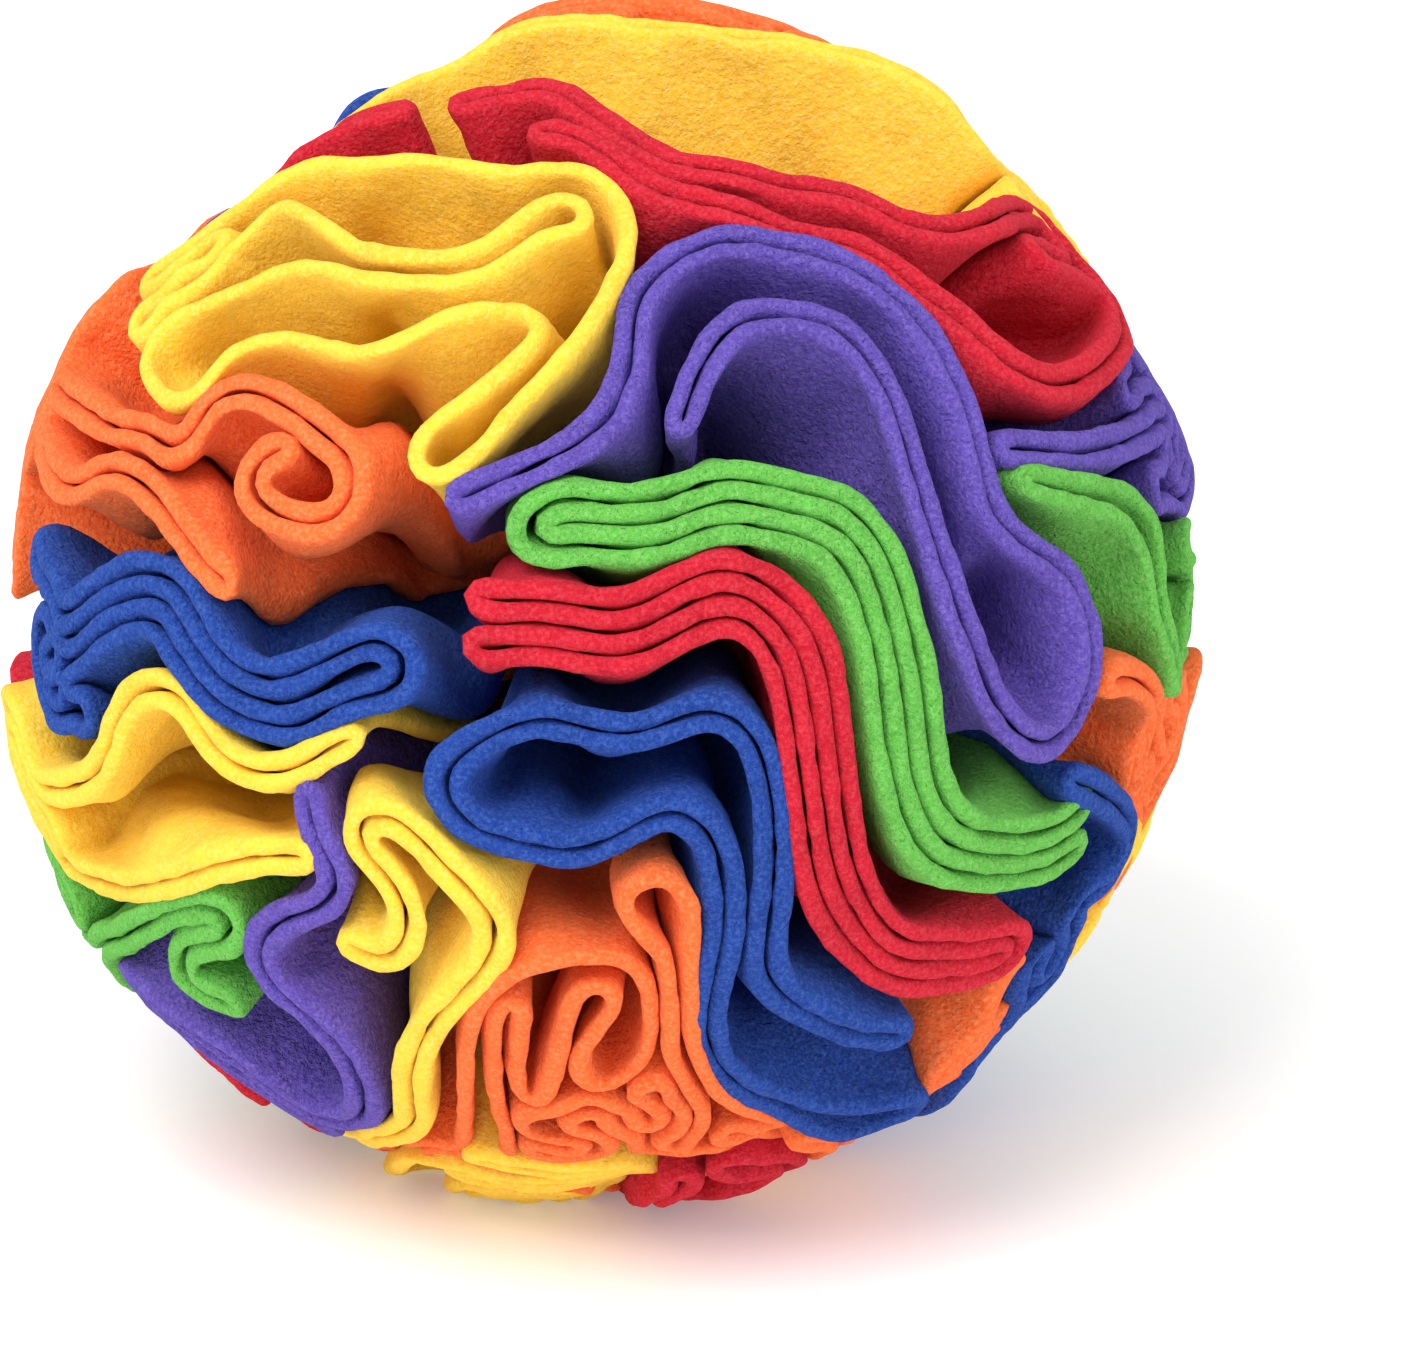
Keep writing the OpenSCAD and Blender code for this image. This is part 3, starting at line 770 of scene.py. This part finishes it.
# Fleece: the shader's even values, the darkest share of a colour, mottling and flecks as scale and
# range, and the fibres' clumps as scale and height in metres
FLEECE_SHADER = {
    "Roughness": 0.95,
    "Specular IOR Level": 0.12,
    "Sheen Weight": 0.35,
    "Sheen Roughness": 0.55,
}
DEEP_SHARE = 0.82
MOTTLE = (140.0, 0.3, 0.6)
FLECKS = (1700.0, 0.42, 0.85)
CLUMPS = ((650.0, 0.0007), (2000.0, 0.00045))
GRAIN_ROUGHNESS = 0.6
COLOUR_DETAIL = 2.0
CLUMP_DETAIL = 3.0


def fleece(name, base, light, nap):
    """Napped fleece: mottled colour, a soft sheen, and fibres in clumps of about a millimetre."""
    material = bpy.data.materials.new(name)
    material.use_nodes = True
    nodes, links = material.node_tree.nodes, material.node_tree.links
    shader = nodes["Principled BSDF"]
    for socket, value in FLEECE_SHADER.items():
        shader.inputs[socket].default_value = value
    shader.inputs["Sheen Tint"].default_value = linear(light)
    place = nodes.new("ShaderNodeTexCoord")

    def grain(scale, detail):
        made = nodes.new("ShaderNodeTexNoise")
        made.inputs["Scale"].default_value = scale
        made.inputs["Detail"].default_value = detail
        made.inputs["Roughness"].default_value = GRAIN_ROUGHNESS
        links.new(place.outputs["Object"], made.inputs["Vector"])
        return made.outputs["Fac"]

    def mixed(low, high, share, below, above):
        ramp = nodes.new("ShaderNodeMapRange")
        ramp.inputs["From Min"].default_value = below
        ramp.inputs["From Max"].default_value = above
        links.new(share, ramp.inputs["Value"])
        mix = nodes.new("ShaderNodeMix")
        mix.data_type = "RGBA"
        links.new(ramp.outputs["Result"], mix.inputs["Factor"])
        for socket, colour in ((mix.inputs["A"], low), (mix.inputs["B"], high)):
            if isinstance(colour, list):
                socket.default_value = colour
            else:
                links.new(colour, socket)
        return mix.outputs["Result"]

    deep = [DEEP_SHARE * c for c in linear(base)[:3]] + [1.0]
    broad = mixed(deep, linear(base), grain(MOTTLE[0], COLOUR_DETAIL), *MOTTLE[1:])
    fine = mixed(broad, linear(light), grain(FLECKS[0], COLOUR_DETAIL), *FLECKS[1:])
    links.new(fine, shader.inputs["Base Color"])
    normal = None
    for scale, height in CLUMPS:
        bump = nodes.new("ShaderNodeBump")
        bump.inputs["Distance"].default_value = height * nap
        bump.inputs["Strength"].default_value = 1.0
        links.new(grain(scale, CLUMP_DETAIL), bump.inputs["Height"])
        if normal is not None:
            links.new(normal, bump.inputs["Normal"])
        normal = bump.outputs["Normal"]
    links.new(normal, shader.inputs["Normal"])
    return material


def plain(name, colour, roughness, glow=0.0):
    """An even material, which may glow a little."""
    material = bpy.data.materials.new(name)
    material.use_nodes = True
    shader = material.node_tree.nodes["Principled BSDF"]
    shader.inputs["Base Color"].default_value = linear(colour)
    shader.inputs["Roughness"].default_value = roughness
    shader.inputs["Emission Color"].default_value = (1, 1, 1, 1)
    shader.inputs["Emission Strength"].default_value = glow
    return material


# Each colour of fleece: its base, its lighter flecks as sRGB, and how strong its nap is
FINISHES = {
    "red": fleece("red_fleece", (204, 30, 50), (222, 70, 82), 1.1),
    "yellow": fleece("yellow_fleece", (255, 205, 58), (255, 222, 112), 0.55),
    "orange": fleece("orange_fleece", (253, 108, 50), (255, 146, 96), 0.8),
    "blue": fleece("blue_fleece", (34, 68, 156), (72, 106, 186), 1.5),
    "green": fleece("green_fleece", (100, 188, 74), (140, 210, 112), 1.5),
    "purple": fleece("purple_fleece", (98, 78, 176), (134, 114, 204), 1.6),
}

# The rims grow together, so that no two take the same place
rims = dict(RIMS)
rims.update({name: far_wedge(*cell) for name, cell in FAR_WEDGES.items()})
warp_field = Sway(*WARP_FIELD)
for name, v in rims.items():
    v = unit(resample(v, int(length(v * BALL_R) / RIBBON_STEP), True))
    rims[name] = warped(v, warp_field)
growth = Growth(rims, RIM_LENGTH, FAR_WEDGES)
growth.relax()

for name, curve in zip(growth.names, growth.curves):
    colour = name.split("_")[0]
    piece = add_grid(f"fleece_{name}", disc_wall(name, curve[:, :3]), FINISHES[colour])
    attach(piece, name)
    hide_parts(name)

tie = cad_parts["cable_tie"]
tie.data.materials.clear()
tie.data.materials.append(plain("nylon", (26, 26, 28), 0.45))

# A white floor that fills the picture, and the studio's light on it
FLOOR_HALF = 6.0
PAPER_GLOW = 0.17
STUDIO_LIGHT = 0.88
KEY_PLACE = (-0.5, -0.7, 1.25)
KEY_POWER = 15.0
FILL_PLACE = (0.9, -1.0, 0.6)
FILL_POWER = 3.0
SOFTBOX_SIZE = 0.9
bpy.ops.mesh.primitive_plane_add(size=2 * FLOOR_HALF, location=(0, 0, 0))
floor = bpy.context.object
floor.name = "floor"
floor.data.materials.append(plain("paper", (250, 250, 250), 1.0, glow=PAPER_GLOW))

world = bpy.data.worlds.new("studio")
bpy.context.scene.world = world
world.use_nodes = True
world.node_tree.nodes["Background"].inputs["Color"].default_value = (1, 1, 1, 1)
world.node_tree.nodes["Background"].inputs["Strength"].default_value = STUDIO_LIGHT


def softbox(name, place, size, power):
    """A square area light that faces the ball."""
    data = bpy.data.lights.new(name, "AREA")
    data.size = size
    data.energy = power
    light = bpy.data.objects.new(name, data)
    bpy.context.scene.collection.objects.link(light)
    light.location = place
    aim = Vector((0, 0, CENTRE_Z / 1000)) - light.location
    light.rotation_euler = aim.to_track_quat("-Z", "Y").to_euler()


softbox("key", KEY_PLACE, SOFTBOX_SIZE, KEY_POWER)
softbox("fill", FILL_PLACE, SOFTBOX_SIZE, FILL_POWER)

# The camera: its distance, and a lens that makes the ball as large as it is in the picture
CAMERA_FAR = 2.0
LENS_PER_METRE = 203.1
SHIFT_X = 0.074
SHIFT_Y = -0.0556
camera_data = bpy.data.cameras.new("camera")
camera_data.lens = LENS_PER_METRE * CAMERA_FAR
camera_data.shift_x = SHIFT_X
camera_data.shift_y = SHIFT_Y
camera = bpy.data.objects.new("camera", camera_data)
bpy.context.scene.collection.objects.link(camera)
camera.location = Vector((0, 0, CENTRE_Z / 1000)) + Vector(VIEW) * CAMERA_FAR
camera.rotation_euler = (-Vector(VIEW)).to_track_quat("-Z", "Y").to_euler()
bpy.context.scene.camera = camera
bpy.context.scene.view_settings.view_transform = "Standard"
